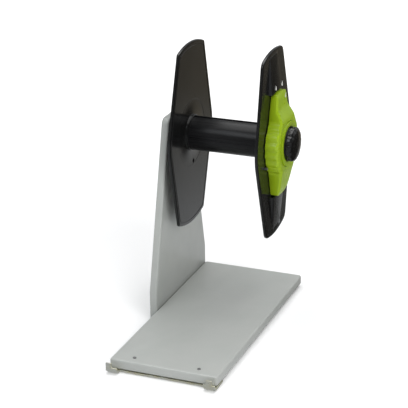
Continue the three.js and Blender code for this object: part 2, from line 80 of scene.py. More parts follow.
def design_x(node):
    """The x limits of a CAD node, in design millimetres."""
    low, high = design_box(node)
    return low[0], high[0]


# ------------------------------------------------------------------ mesh helpers
def object_from(name, bm):
    """Links a bmesh as an object with its faces pointing outwards."""
    bmesh.ops.remove_doubles(bm, verts=bm.verts, dist=0.002 * MM)
    bmesh.ops.recalc_face_normals(bm, faces=bm.faces)
    mesh = bpy.data.meshes.new(name)
    bm.to_mesh(mesh)
    bm.free()
    piece = bpy.data.objects.new(name, mesh)
    bpy.context.scene.collection.objects.link(piece)
    return piece


def bridged(bm, loops, ring=False, closed=True):
    """Rows of vertices with faces between them; ring joins the last row to the first.

    A closed row also has faces between its last point and its first.
    """
    rows = [[bm.verts.new(point) for point in loop] for loop in loops]
    for low, high in zip(rows, rows[1:] + rows[:1] if ring else rows[1:]):
        count = len(low)
        for i in range(count if closed else count - 1):
            j = (i + 1) % count
            bm.faces.new((low[i], low[j], high[j], high[i]))
    return rows


def lofted(name, loops, ring=False):
    """A solid through loops of equal length: a ring of them, or capped at both ends."""
    bm = bmesh.new()
    rows = bridged(bm, loops, ring)
    if not ring:
        bm.faces.new(rows[0])
        bm.faces.new(rows[-1])
    return object_from(name, bm)


def applied(piece):
    """Replaces the piece's mesh with what its modifiers make of it."""
    graph = bpy.context.evaluated_depsgraph_get()
    mesh = bpy.data.meshes.new_from_object(piece.evaluated_get(graph))
    piece.modifiers.clear()
    piece.data = mesh
    return piece


def combined(piece, tools, operation):
    """Boolean of the piece with each tool; the tools are used up."""
    for tool in tools:
        step = piece.modifiers.new("boolean", "BOOLEAN")
        step.operation = operation
        step.solver = "EXACT"
        step.object = tool
    applied(piece)
    for tool in tools:
        bpy.data.objects.remove(tool)
    return piece


def add_rounding(piece, width, angle):
    """Adds a modifier that rounds every edge sharper than the angle."""
    step = piece.modifiers.new("rounding", "BEVEL")
    step.width = width * MM
    step.segments = 2
    step.limit_method = "ANGLE"
    step.angle_limit = math.radians(angle)
    step.use_clamp_overlap = True


def rounded_edges(piece, width, angle=50):
    """Rounds the piece's edges for good."""
    add_rounding(piece, width, angle)
    return applied(piece)


def smooth(piece):
    """Smooth shading that still breaks at real corners."""
    for face in piece.data.polygons:
        face.use_smooth = True
    piece.data.set_sharp_from_angle(angle=math.radians(38))


def installed(piece, body, slot, *nodes):
    """Puts a finished piece on its body in place of the CAD nodes that it stands for."""
    smooth(piece)
    piece.data.materials.clear()
    piece.data.materials.append(LOOKS[slot])
    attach(piece, body)
    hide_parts(*nodes)


def box_mesh(name, low, high):
    """A block between two design points."""
    corners = [(low[0], low[1]), (high[0], low[1]), (high[0], high[1]), (low[0], high[1])]
    loops = [[at(x, y, z) for x, y in corners] for z in (low[2], high[2])]
    return lofted(name, loops)


# ------------------------------------------------------------------ outlines
def full_turn(count):
    """Evenly spaced angles all the way round."""
    return [2 * math.pi * i / count for i in range(count)]


def arc(centre, radius, start, end, count):
    """Points along an arc, both ends included; angles in degrees."""
    points = []
    for i in range(count + 1):
        angle = math.radians(start + (end - start) * i / count)
        points.append((centre[0] + radius * math.cos(angle), centre[1] + radius * math.sin(angle)))
    return points


def turned(name, profile, count, ring=False, centre=(AXIS_Y, AXIS_Z)):
    """A solid of revolution along x; profile points are (x, radius)."""
    y, z = centre
    loops = [[at(x, y + radius * math.cos(a), z + radius * math.sin(a)) for a in full_turn(count)]
             for x, radius in profile]
    return lofted(name, loops, ring=ring)


def rounded_rectangle(x0, y0, x1, y1, radius):
    """Corner arcs joined by straight sides."""
    points = []
    for centre, start in (((x1 - radius, y0 + radius), -90), ((x1 - radius, y1 - radius), 0),
                          ((x0 + radius, y1 - radius), 90), ((x0 + radius, y0 + radius), 180)):
        points += arc(centre, radius, start, start + 90, 6)
    return points


def wing_outline(wing, inset=0.0):
    """Guide flange outline about the axis: tip arcs, straight leaning sides, rounded corners."""
    count = 14
    slant = math.hypot(1, wing["lean"])
    reach = wing["tip"] - inset
    corner = max(wing["corner"] - inset, 1)
    distance = wing["half"] / slant - inset
    middle = wing["middle"]
    normal = math.degrees(math.atan(wing["lean"]))
    along = math.sqrt((reach - corner) ** 2 - (distance - corner) ** 2)
    cos, sin = math.cos(math.radians(normal)), math.sin(math.radians(normal))
    cy = cos * (distance - corner) - sin * along
    cz = sin * (distance - corner) + cos * along
    end = math.degrees(math.atan2(cz, cy))
    bulge = (distance - middle) * slant
    half = []
    half += arc((bulge, 0), middle, -normal, normal, count)
    half += arc((cy, cz), corner, normal, end, count)
    half += arc((0, 0), reach, end, 180 - end, 3 * count)[1:-1]
    half += arc((-cy, cz), corner, 180 - end, 180 - normal, count)
    other = [(-y, -z) for y, z in half]
    return [(y, z - wing["drop"]) for y, z in half + other]


def polar_radius(points):
    """A function of angle that gives a star-shaped outline's radius there."""
    table = sorted((math.atan2(z, y) % (2 * math.pi), math.hypot(y, z)) for y, z in points)
    table = [(table[-1][0] - 2 * math.pi, table[-1][1])] + table
    table += [(table[1][0] + 2 * math.pi, table[1][1])]

    def radius(angle):
        """The outline's radius at this angle, in radians."""
        wanted = angle % (2 * math.pi)
        for (a0, r0), (a1, r1) in zip(table, table[1:]):
            if a0 <= wanted <= a1:
                if a1 - a0 < 1e-9:
                    return r1
                # straight side between the two points, in polar form
                y0, z0 = r0 * math.cos(a0), r0 * math.sin(a0)
                y1, z1 = r1 * math.cos(a1), r1 * math.sin(a1)
                dy, dz = y1 - y0, z1 - z0
                c, s = math.cos(wanted), math.sin(wanted)
                return (y0 * dz - z0 * dy) / (c * dz - s * dy)
        return table[0][1]

    return radius


def blend_angles(points):
    """Every outline corner's angle, plus even ones where the outline has few points."""
    step = 3.0
    angles = {round(math.atan2(z, y) % (2 * math.pi), 5) for y, z in points}
    for i in range(int(360 / step)):
        even = math.radians(i * step)
        if min(abs(even - a) for a in angles) > math.radians(step / 2):
            angles.add(round(even, 5))
    return sorted(angles)


def section_loft(name, angles, section, turn):
    """A ring-shaped solid through (radius, x) pairs; a radius may be a function of angle."""
    loops = []
    for radius, x in section:
        radii = [radius(angle) if callable(radius) else radius for angle in angles]
        loops.append([about_axis(x, r, angle + math.radians(turn))
                      for r, angle in zip(radii, angles)])
    return lofted(name, loops, ring=True)


# ------------------------------------------------------------------ materials
class Look:
    """A node material being built: short names for the few nodes that every look uses."""

    def __init__(self, name, roughness, metallic=0.0, specular=0.5):
        """Starts from the plain shader, with its even values set on its own sockets."""
        self.material = bpy.data.materials.new(name)
        self.material.use_nodes = True
        self.nodes = self.material.node_tree.nodes
        self.links = self.material.node_tree.links
        self.shader = self.nodes["Principled BSDF"]
        self.shader.inputs["Roughness"].default_value = roughness
        self.shader.inputs["Metallic"].default_value = metallic
        self.shader.inputs["Specular IOR Level"].default_value = specular
        self.place = self.nodes.new("ShaderNodeTexCoord").outputs["Object"]

    def stretched(self, scale):
        """Object coordinates scaled along each axis."""
        node = self.nodes.new("ShaderNodeMapping")
        node.inputs["Scale"].default_value = scale
        self.links.new(self.place, node.inputs["Vector"])
        return node.outputs["Vector"]

    def noise(self, scale, detail=2.0, rough=0.5, vector=None):
        """Noise value from 0 to 1; scale is in cycles per metre."""
        node = self.nodes.new("ShaderNodeTexNoise")
        node.inputs["Scale"].default_value = scale
        node.inputs["Detail"].default_value = detail
        node.inputs["Roughness"].default_value = rough
        self.links.new(vector or self.place, node.inputs["Vector"])
        return node.outputs["Fac"]

    def remapped(self, value, low, high, start=0.0, end=1.0):
        """The value's range from low to high, stretched to run from start to end."""
        node = self.nodes.new("ShaderNodeMapRange")
        node.inputs["From Min"].default_value = low
        node.inputs["From Max"].default_value = high
        node.inputs["To Min"].default_value = start
        node.inputs["To Max"].default_value = end
        self.links.new(value, node.inputs["Value"])
        return node.outputs["Result"]

    def mixed(self, factor, first, second):
        """A colour between two others; each is a colour tuple or a socket."""
        node = self.nodes.new("ShaderNodeMix")
        node.data_type = "RGBA"
        self.links.new(factor, node.inputs["Factor"])
        for socket, colour in (("A", first), ("B", second)):
            target = next(s for s in node.inputs if s.name == socket and s.type == "RGBA")
            if isinstance(colour, tuple):
                target.default_value = (*colour, 1.0)
            else:
                self.links.new(colour, target)
        return next(s for s in node.outputs if s.type == "RGBA")

    def coloured(self, socket):
        """Sets the surface colour."""
        self.links.new(socket, self.shader.inputs["Base Color"])

    def roughened(self, socket):
        """Sets the roughness."""
        self.links.new(socket, self.shader.inputs["Roughness"])

    def bumped(self, *layers):
        """Adds bump layers, each (height socket, strength, depth in mm)."""
        previous = None
        for height, strength, depth in layers:
            node = self.nodes.new("ShaderNodeBump")
            node.inputs["Strength"].default_value = strength
            node.inputs["Distance"].default_value = depth * MM
            self.links.new(height, node.inputs["Height"])
            if previous is not None:
                self.links.new(previous, node.inputs["Normal"])
            previous = node.outputs["Normal"]
        self.links.new(previous, self.shader.inputs["Normal"])


def powder_coat():
    """Light grey textured paint: fine orange peel, faint mottling, a few pale specks."""
    look = Look("grey powder coat", 0.34, 0.0, 0.5)
    mottle = look.remapped(look.noise(22, 3.0), 0.3, 0.7)
    body = look.mixed(mottle, (0.395, 0.412, 0.392), (0.425, 0.438, 0.418))
    speck = look.remapped(look.noise(1900, 1.0), 0.68, 0.8)
    look.coloured(look.mixed(speck, body, (0.50, 0.515, 0.50)))
    look.roughened(look.remapped(look.noise(60, 3.0), 0.3, 0.7, 0.28, 0.36))
    look.bumped((look.noise(1300, 2.0), 0.16, 0.12), (look.noise(340, 1.0), 0.10, 0.1))
    return look.material


def moulded_black():
    """Glossy black injection moulding: slight flow marks, fine rubbing marks, dust."""
    look = Look("gloss black moulding", 0.2, 0.0, 0.5)
    flow = look.remapped(look.noise(45, 4.0, 0.6), 0.35, 0.7)
    body = look.mixed(flow, (0.0045, 0.0046, 0.0046), (0.0075, 0.0076, 0.0075))
    dust = look.remapped(look.noise(2600, 1.0), 0.72, 0.82)
    look.coloured(look.mixed(dust, body, (0.03, 0.03, 0.03)))
    rubbed = look.noise(1.0, 5.0, 0.7, look.stretched((260, 900, 90)))
    look.roughened(look.remapped(rubbed, 0.3, 0.75, 0.13, 0.27))
    look.bumped((look.noise(260, 2.0), 0.03, 0.05), (flow, 0.05, 0.15))
    return look.material


def satin_black():
    """Fine-grained black moulding."""
    look = Look("satin black moulding", 0.4, 0.0, 0.45)
    grain = look.noise(2200, 2.0)
    tone = look.remapped(look.noise(70, 3.0), 0.3, 0.7)
    look.coloured(look.mixed(tone, (0.010, 0.010, 0.011), (0.019, 0.019, 0.020)))
    look.roughened(look.remapped(look.noise(120, 2.0), 0.3, 0.7, 0.34, 0.46))
    look.bumped((grain, 0.25, 0.06))
    return look.material


def anodised_black():
    """Black extrusion with faint draw lines along its length."""
    look = Look("black anodised extrusion", 0.3, 0.0, 0.24)
    lines = look.noise(1.0, 4.0, 0.6, look.stretched((12, 1500, 1500)))
    tone = look.remapped(lines, 0.3, 0.7)
    look.coloured(look.mixed(tone, (0.005, 0.005, 0.0055), (0.011, 0.011, 0.0115)))
    look.roughened(look.remapped(lines, 0.3, 0.7, 0.24, 0.36))
    look.bumped((lines, 0.3, 0.08), (look.noise(1500, 1.0), 0.05, 0.04))
    return look.material


def moulded_green():
    """Yellow-green moulding, semi-gloss, with a slightly deeper tone in patches."""
    look = Look("green moulding", 0.3, 0.0, 0.5)
    patch = look.remapped(look.noise(55, 3.0), 0.3, 0.7)
    body = look.mixed(patch, (0.248, 0.372, 0.006), (0.28, 0.41, 0.008))
    speck = look.remapped(look.noise(2100, 1.0), 0.66, 0.8)
    look.coloured(look.mixed(speck, body, (0.2, 0.315, 0.01)))
    look.roughened(look.remapped(look.noise(90, 3.0), 0.3, 0.7, 0.26, 0.38))
    look.bumped((look.noise(1200, 2.0), 0.10, 0.06), (look.noise(160, 1.0), 0.06, 0.15))
    look.shader.inputs["Subsurface Weight"].default_value = 0.08
    look.shader.inputs["Subsurface Radius"].default_value = (0.004, 0.006, 0.001)
    look.shader.inputs["Subsurface Scale"].default_value = 0.5
    return look.material


def yellow_zinc():
    """Zinc plate with the yellow and pale violet drift of its passivation."""
    look = Look("yellow zinc plate", 0.3, 1.0)
    drift = look.remapped(look.noise(85, 3.0), 0.32, 0.68)
    warm = look.mixed(drift, (0.76, 0.72, 0.50), (0.84, 0.84, 0.75))
    violet = look.remapped(look.noise(140, 2.0), 0.55, 0.75, 0.0, 0.35)
    look.coloured(look.mixed(violet, warm, (0.66, 0.63, 0.66)))
    rolled = look.noise(1.0, 3.0, 0.6, look.stretched((60, 2200, 2200)))
    look.roughened(look.remapped(rolled, 0.3, 0.7, 0.24, 0.42))
    look.bumped((rolled, 0.12, 0.05))
    return look.material


def zinc_steel():
    """Bright zinc plated steel, finely crystalline."""
    look = Look("bright zinc steel", 0.32, 1.0)
    tone = look.remapped(look.noise(900, 2.0), 0.3, 0.7)
    look.coloured(look.mixed(tone, (0.42, 0.43, 0.45), (0.56, 0.57, 0.58)))
    look.roughened(look.remapped(look.noise(350, 3.0), 0.3, 0.7, 0.26, 0.42))
    look.bumped((look.noise(2600, 2.0), 0.15, 0.04))
    return look.material


def black_oxide():
    """Dark screw steel, oily black with a grey bloom."""
    look = Look("black oxide steel", 0.36, 0.9)
    tone = look.remapped(look.noise(1200, 3.0), 0.3, 0.7)
    look.coloured(look.mixed(tone, (0.16, 0.16, 0.162), (0.3, 0.3, 0.3)))
    look.roughened(look.remapped(look.noise(700, 2.0), 0.3, 0.7, 0.3, 0.48))
    look.bumped((look.noise(2400, 2.0), 0.15, 0.04))
    return look.material


def black_rubber():
    """Matt rubber with a dusty bloom."""
    look = Look("black rubber", 0.85, 0.0, 0.3)
    bloom = look.remapped(look.noise(260, 4.0), 0.35, 0.75)
    look.coloured(look.mixed(bloom, (0.012, 0.012, 0.012), (0.035, 0.034, 0.032)))
    look.roughened(look.remapped(bloom, 0.0, 1.0, 0.78, 0.92))
    look.bumped((look.noise(1800, 3.0), 0.4, 0.08))
    return look.material


def sintered_bronze():
    """Porous bearing bronze, darkened by oil."""
    look = Look("sintered bronze", 0.45, 1.0)
    pores = look.noise(3200, 3.0, 0.7)
    tone = look.remapped(pores, 0.35, 0.65)
    look.coloured(look.mixed(tone, (0.20, 0.12, 0.045), (0.50, 0.33, 0.13)))
    look.roughened(look.remapped(pores, 0.3, 0.7, 0.36, 0.6))
    look.bumped((pores, 0.4, 0.06))
    return look.material


def wool_felt():
    """Pressed grey felt."""
    look = Look("wool felt", 0.95, 0.0, 0.2)
    fibres = look.noise(1.0, 5.0, 0.75, look.stretched((900, 3200, 2600)))
    tone = look.remapped(fibres, 0.3, 0.7)
    look.coloured(look.mixed(tone, (0.07, 0.072, 0.075), (0.17, 0.175, 0.18)))
    look.shader.inputs["Sheen Weight"].default_value = 0.3
    look.bumped((fibres, 0.7, 0.3))
    return look.material


def white_paint():
    """Index mark in slightly uneven white."""
    look = Look("white mark", 0.45, 0.0, 0.4)
    tone = look.remapped(look.noise(900, 3.0), 0.3, 0.7)
    look.coloured(look.mixed(tone, (0.72, 0.72, 0.69), (0.82, 0.82, 0.79)))
    look.bumped((look.noise(2500, 2.0), 0.2, 0.05))
    return look.material


LOOKS = {
    "grey_paint": powder_coat(),
    "black_gloss": moulded_black(),
    "black_satin": satin_black(),
    "black_anodised": anodised_black(),
    "green_plastic": moulded_green(),
    "zinc_steel": yellow_zinc(),
    "steel": zinc_steel(),
    "dark_steel": black_oxide(),
    "rubber": black_rubber(),
    "bronze": sintered_bronze(),
    "felt": wool_felt(),
    "white_mark": white_paint(),
}


# ------------------------------------------------------------------ sheet-metal parts
SHEET = 1.5
BEND = 2.0                      # outside radius of the folds


def thickened(piece):
    """Gives a folded surface its sheet thickness and breaks its cut edges."""
    step = piece.modifiers.new("sheet", "SOLIDIFY")
    step.thickness = SHEET * MM
    step.offset = -1.0              # the sheet lies inside the surface
    step.use_even_offset = True
    step.use_quality_normals = True
    applied(piece)
    return rounded_edges(piece, 0.22)


def folded_base():
    """The base pan: top, four skirts and a lip turned in underneath."""
    (x0, y0, bottom), (x1, y1, top) = design_box("base_pan")
    lip, corner_radius = 14.0, 3.0
    steps = [(lip, bottom), (8.0, bottom)]
    steps += [(BEND - dx, bottom + BEND - dz) for dx, dz in arc((0, 0), BEND, 90, 0, 6)]
    steps += [(BEND - dx, top - BEND + dz) for dx, dz in arc((0, 0), BEND, 0, 90, 6)]
    loops = []
    for inset, z in steps:
        corner = max(corner_radius - inset, 0.6)
        outline = rounded_rectangle(x0 + inset, y0 + inset, x1 - inset, y1 - inset, corner)
        loops.append([at(x, y, z) for x, y in outline])
    bm = bmesh.new()
    rows = bridged(bm, loops)
    bm.faces.new(rows[-1])
    pan = object_from("folded_base", bm)
    installed(thickened(pan), "stand", "grey_paint", "base_pan")


UPRIGHT = {"front": 129, "back": 281, "straight_top": 35.8, "taper": 0.2324, "corner": 8}


def upright_path(inset):
    """Side and top of the upright, from its front foot over the top to its back foot."""
    (_, _, bottom), (_, _, top) = design_box("upright_panel")
    halfway = (UPRIGHT["front"] + UPRIGHT["back"]) / 2
    half = (UPRIGHT["back"] - UPRIGHT["front"]) / 2
    taper = UPRIGHT["taper"]
    lean = math.hypot(1, taper)
    side = inset * lean
    radius = UPRIGHT["corner"] - inset
    tilt = math.degrees(math.atan(taper))
    centre_z = top - inset - radius
    centre_y = half - side - taper * (centre_z - UPRIGHT["straight_top"]) - radius * lean
    bend = UPRIGHT["straight_top"] - (side - inset) / taper
    back = [(half - inset, bottom), (half - inset, bend)]
    back += arc((centre_y, centre_z), radius, tilt, 90, 8)
    front = [(-y, z) for y, z in reversed(back)]
    return [(halfway + y, z) for y, z in back + front]


def folded_upright():
    """The upright: one face with its front, top and back edges folded away from the spool."""
    depth = -design_x("upright_panel")[0]
    steps = [(0.0, -depth), (0.0, -depth / 2)]
    steps += [(BEND - dx, -BEND + dz) for dx, dz in arc((0, 0), BEND, 0, 90, 6)]
    loops = [[at(x, y, z) for y, z in upright_path(inset)] for inset, x in steps]
    bm = bmesh.new()
    rows = bridged(bm, loops, closed=False)
    bm.faces.new(rows[-1])
    panel = object_from("folded_upright", bm)
    installed(thickened(panel), "stand", "grey_paint", "upright_panel")


HOOK = {"width": 13.0, "reach": 4.0, "bend": 3.0, "tongue": 6.5}


def hook_profile(top, start_y):
    """Side view of a hook in (y, z): along under the base, then curled forwards and up."""
    low = design_box("docking_bracket")[0][2]
    centre = (-HOOK["reach"], low + SHEET + HOOK["bend"])
    outside = HOOK["bend"] + SHEET
    points = [(start_y, low)]
    points += arc(centre, outside, 270, 180, 16)
    points += [(centre[0] - outside, top), (centre[0] - HOOK["bend"], top)]
    points += arc(centre, HOOK["bend"], 180, 270, 12)
    points += [(start_y, low + SHEET)]
    return points


def across(name, profile, x0, x1):
    """A (y, z) profile extruded from x0 to x1."""
    return lofted(name, [[at(x, y, z) for y, z in profile] for x in (x0, x1)])


def hooked_bracket():
    """The plated strip under the front edge with a hook curled up at each end."""
    (x0, _, bottom), (x1, back, hook_top) = design_box("docking_bracket")
    barrel_top = bottom + SHEET + HOOK["bend"] + 2
    strip = box_mesh("hooked_bracket", (x0, -1, bottom), (x1, back, bottom + SHEET))
    last = x1 - HOOK["width"]
    tools = []
    for start, tongue in ((x0, x0), (last, last + 3)):
        tools.append(across("barrel", hook_profile(barrel_top, 3.0), start, start + HOOK["width"]))
        tools.append(across("tongue", hook_profile(hook_top, 2.5), tongue, tongue + HOOK["tongue"]))
    bracket = combined(strip, tools, "UNION")
    rounded_edges(bracket, 0.25)
    installed(bracket, "stand", "zinc_steel", "docking_bracket")


# ------------------------------------------------------------------ guide flanges
INNER_WING = {"tip": 107.2, "half": 66.4, "lean": 0.281, "corner": 4, "middle": 45, "drop": 1.4}
OUTER_WING = {"tip": 109.2, "half": 59.8, "lean": 0.258, "corner": 10.5, "middle": 45, "drop": 1.4}
INNER_TURN, OUTER_TURN = -2, 3.6        # degrees that each guide stands off upright
HUB_BORE, HUB_RADIUS = 21.1, 22.8


def inner_guide():
    """The inner flange: thin plate with a border groove, a core circle and a collar."""
    back, front = design_x("inner_flange")
    face = back + 3.0
    bore, collar, well = 17.3, 21.0, 19.75
    core = 39.2
    outline = wing_outline(INNER_WING)
    angles = blend_angles(outline)

    def edge(inset):
        """The outline drawn in by this much, as a radius at each angle."""
        return polar_radius(wing_outline(INNER_WING, inset))

    section = [
        (bore, back), (26, back), (edge(3.0), back), (edge(1.0), back),
        (edge(0.35), back + 0.2), (edge(0.0), back + 0.8), (edge(0.0), face - 0.8),
        (edge(0.35), face - 0.2), (edge(1.0), face), (edge(3.8), face),
        (edge(4.2), face - 0.5), (edge(5.2), face - 0.5), (edge(5.6), face),
        (core, face), (core - 0.2, face - 0.2), (core - 0.8, face - 0.2), (core - 1.0, face),
        (collar + 0.7, face), (collar + 0.15, face + 0.2), (collar, face + 0.9),
        (collar, front - 0.8), (collar - 0.9, front), (well + 0.05, front), (well, face),
        (bore, face),
    ]
    flange = section_loft("inner_guide", angles, section, INNER_TURN)
    eye_radius, eye_distance, eye_angle = 2.6, 35.8, math.radians(-84)
    eye_centre = (AXIS_Y + eye_distance * math.cos(eye_angle),
                  AXIS_Z + eye_distance * math.sin(eye_angle))
    eye = turned("eye", [(back - 1, eye_radius), (face + 1, eye_radius)], 32, centre=eye_centre)
    flange = combined(flange, [eye], "DIFFERENCE")
    installed(flange, "spool", "black_gloss", "inner_flange")


SPINE = {"start": 61.2, "end": 102.5, "half_start": 17.4, "half_end": 13.6, "corner": 4,
         "sunk": 0.3, "fade_end": 103.5, "fade": 40.0, "least": 0.08}


def spine_outline(inset):
    """Half of the spine in (y, z) about the axis: it narrows to a tip with rounded corners."""
    low, high = SPINE["start"], SPINE["end"] - inset * 0.5
    half_low, half_high = SPINE["half_start"] - inset, SPINE["half_end"] - inset
    corner = SPINE["corner"]
    points = [(half_low, low), (half_high + 0.1, high - corner)]
    points += arc((half_high - corner, high - corner), corner, 0, 90, 6)
    points += arc((-half_high + corner, high - corner), corner, 90, 180, 6)
    points += [(-half_high - 0.1, high - corner), (-half_low, low)]
    return points


def spine(sign, face, top, name):
    """One half of the raised spine: a long wedge that runs from the lock ring to the tip."""
    turn = math.radians(OUTER_TURN)
    sunk, least = SPINE["sunk"], SPINE["least"]
    levels = [(0.0, 0.0), (0.62, 0.5), (0.86, 0.8), (0.97, 1.3), (1.0, 2.2)]
    loops = []
    for rise, inset in levels:
        loop = []
        for y, z in spine_outline(inset):
            fade = min(max((SPINE["fade_end"] - z) / SPINE["fade"], 0.0), 1.0)
            height = face - sunk + (top - face + sunk) * rise * (least + (1 - least) * fade)
            y, z = y * sign, z * sign
            loop.append(at(height, AXIS_Y + y * math.cos(turn) - z * math.sin(turn),
                           AXIS_Z + y * math.sin(turn) + z * math.cos(turn)))
        loops.append(loop)
    return lofted(name, loops)


def pad_window(node):
    """A block that cuts the window in the hub where this clamp pad slides."""
    gap, travel = 0.3, 6
    (x0, y0, z0), (x1, y1, z1) = design_box(node)
    inner, outer = sorted((y0, y1), key=lambda y: abs(y - AXIS_Y))
    outward = travel if outer > AXIS_Y else -travel
    start, end = sorted((inner - outward * 0.3, outer + outward))
    return box_mesh("window", (x0 - gap, start, z0 - gap), (x1 + gap, end, z1 + gap))


def outer_guide():
    """The outer flange: plate with rounded edge, two spine halves and the clamping hub."""
    back, hub_end = design_x("outer_flange")
    face = back + 3.2
    top = face + 4.0
    groove, groove_floor = 129.0, HUB_RADIUS - 0.9
    outline = wing_outline(OUTER_WING)
    angles = blend_angles(outline)

    def edge(inset):
        """The outline drawn in by this much, as a radius at each angle."""
        return polar_radius(wing_outline(OUTER_WING, inset))

    section = [
        (HUB_BORE, back), (26, back), (edge(3.0), back), (edge(1.0), back),
        (edge(0.3), back + 0.25), (edge(0.0), back + 0.9), (edge(0.0), face - 0.9),
        (edge(0.3), face - 0.25), (edge(1.0), face), (edge(3.0), face), (40.0, face),
        (HUB_RADIUS, face), (HUB_RADIUS, groove), (groove_floor, groove + 0.05),
        (groove_floor, groove + 1.05), (HUB_RADIUS - 0.1, groove + 1.1),
        (HUB_RADIUS, hub_end - 0.4),
        (HUB_RADIUS - 0.3, hub_end), (HUB_BORE + 0.3, hub_end), (HUB_BORE, hub_end - 0.3),
    ]
    flange = section_loft("outer_guide", angles, section, OUTER_TURN)
    halves = [spine(1, face, top, "spine_up"), spine(-1, face, top, "spine_down")]
    flange = combined(flange, halves, "UNION")
    windows = [pad_window("clamp_pad_front"), pad_window("clamp_pad_rear")]
    flange = combined(flange, windows, "DIFFERENCE")
    installed(flange, "margin_stop", "black_gloss", "outer_flange")


# ------------------------------------------------------------------ lock ring
RING = {"radius": 36.0, "tip": 59.9, "half": 15.0, "lean": 0.27, "bore": 23.1, "seat": 25.8,
        "tip_height": 7.7, "notch": 4.6, "ear": 4.0}


def soft_max(a, b, width):
    """The larger of two lengths, with a fillet where they cross."""
    return (a + b + math.sqrt((a - b) ** 2 + width ** 2)) / 2


def soft_min(a, b, width):
    """The smaller of two lengths, with a rounding where they cross."""
    return (a + b - math.sqrt((a - b) ** 2 + width ** 2)) / 2


def bump(angle, centre, width):
    """A rounded hump of height 1 at this angle; both in degrees."""
    away = (angle - centre + 180) % 360 - 180
    return math.exp(-((away / width) ** 2))


def tab_radius(angle):
    """Radius of the two-ended tab outline at an angle in radians."""
    tip_z = math.sqrt(RING["tip"] ** 2 - RING["half"] ** 2)
    waist = RING["half"] + RING["lean"] * tip_z
    side = waist / (abs(math.cos(angle)) + RING["lean"] * abs(math.sin(angle)))
    return soft_min(RING["tip"], side, 0.8)


NOTCHES = [side + step for side in (0, 180) for step in (-36, -18, 0, 18, 36)]
EARS = [38.5, 218.5]


def ring_outline(angle, scallop=1.0):
    """Outer radius of the lock ring: scalloped disc, two tabs, two small ears."""
    turn = math.degrees(angle)
    notches = sum(bump(turn, notch, RING["notch"]) for notch in NOTCHES)
    ears = sum(bump(turn, ear, RING["ear"]) for ear in EARS)
    disc = RING["radius"] - 1.4 * scallop * notches
    disc += 2.6 * scallop * ears
    return min(soft_max(disc, tab_radius(angle), 1.0), RING["tip"])


def plateau(z, face, tip_face):
    """Height of the ring's top face: full in the middle, falling to the tips.

    The lower tab slopes evenly. The upper one drops in a smooth step, then slopes a little.
    """
    slope_start, slope_length, low_lift = 28, 33, 1.3
    step_start, step_end, tip_length, lift = 27, 45, 15, 0.8
    if z < 0:
        slope = soft_max(-z - slope_start, 0, 1.5) / slope_length
        return face + (tip_face + low_lift - face) * slope
    if z < step_start:
        return face
    if z < step_end:
        t = (z - step_start) / (step_end - step_start)
        return face + (tip_face + lift - face) * t * t * (3 - 2 * t)
    return tip_face + lift - lift * min((z - step_end) / tip_length, 1)


def pad_pocket(turn):
    """Spiral pocket in the ring's bore that pushes a clamp pad in, or lets it back out."""
    pad_half, pad_reach = 4, 22.9
    pad_end = math.degrees(math.asin(pad_half / pad_reach)) + 1
    bore, travel, sweep = RING["bore"] - 0.05, 0.95, 20.0
    start, end = 118, 126
    points = [(15.0, 0.0)]
    points += [(bore + travel * step / 8, pad_end - sweep * step / 8) for step in range(9)]
    points += [(bore + travel, pad_end - sweep - (2 * pad_end + 1) * step / 4)
               for step in range(1, 5)]
    loops = [[about_axis(x, radius, math.radians(angle + turn)) for radius, angle in points]
             for x in (start, end)]
    return lofted("pad_pocket", loops)


def wall_height(angle, face, tip_face):
    """Height at which the ring's side wall ends, lower at the left and right."""
    edge = plateau(ring_outline(angle, 0) * math.sin(angle), face, tip_face)
    return edge - 1.3 - 2.2 * math.cos(angle) ** 2


def shoulder_radius(angle, t):
    """Radius on the way in from the side wall, t = 0, to the seat round the knob, t = 1."""
    outer = ring_outline(angle, max(1 - 2.6 * t, 0))
    return outer - t * (outer - RING["seat"] - 0.6)


def shoulder_height(angle, t, face, tip_face):
    """Height there: the rounded shoulder up to the top face, with the notches' dents."""
    outer = ring_outline(angle, 0)
    radius = shoulder_radius(angle, t)
    side = abs(math.cos(angle)) + RING["lean"] * abs(math.sin(angle))
    inward = max(outer - radius, 0) * min(side / math.hypot(1, RING["lean"]), 1)
    reach = 2.6 + 1.9 * math.cos(angle) ** 2
    eased = 1 - (1 - min(inward / reach, 1.0)) ** 1.7
    dent = sum(bump(math.degrees(angle), notch, RING["notch"]) for notch in NOTCHES)
    dent *= 0.9 * max(1 - abs(t - 0.2) / 0.25, 0)
    wall = wall_height(angle, face, tip_face)
    flat = plateau(radius * math.sin(angle), face, tip_face)
    return wall + (flat - wall) * eased - dent


def green_ring():
    """The lock ring, laid out as rings of points from its bore to its outline and back."""
    back, face = design_x("lock_ring")
    tip_face = back + RING["tip_height"]
    bore, seat = RING["bore"], RING["seat"]
    angles = full_turn(360)

    def circle(radius, x):
        """A plain circle of points."""
        return [about_axis(x, radius, a) for a in angles]

    loops = [
        circle(bore, back),
        [about_axis(back, ring_outline(a) - 0.5, a) for a in angles],
        [about_axis(back + 0.5, ring_outline(a), a) for a in angles],
    ]
    for t in (0.0, 0.012, 0.03, 0.06, 0.11, 0.18, 0.28, 0.4, 0.55, 0.72, 0.88, 1.0):
        loops.append([about_axis(shoulder_height(a, t, face, tip_face), shoulder_radius(a, t), a)
                      for a in angles])
    loops += [circle(seat + 0.15, face - 0.1), circle(seat, face - 0.4), circle(seat, face - 1.2),
              circle(bore, face - 1.2)]
    ring = lofted("green_ring", loops, ring=True)
    ring = combined(ring, [pad_pocket(0), pad_pocket(180)], "DIFFERENCE")
    installed(ring, "lock_ring", "green_plastic", "lock_ring")


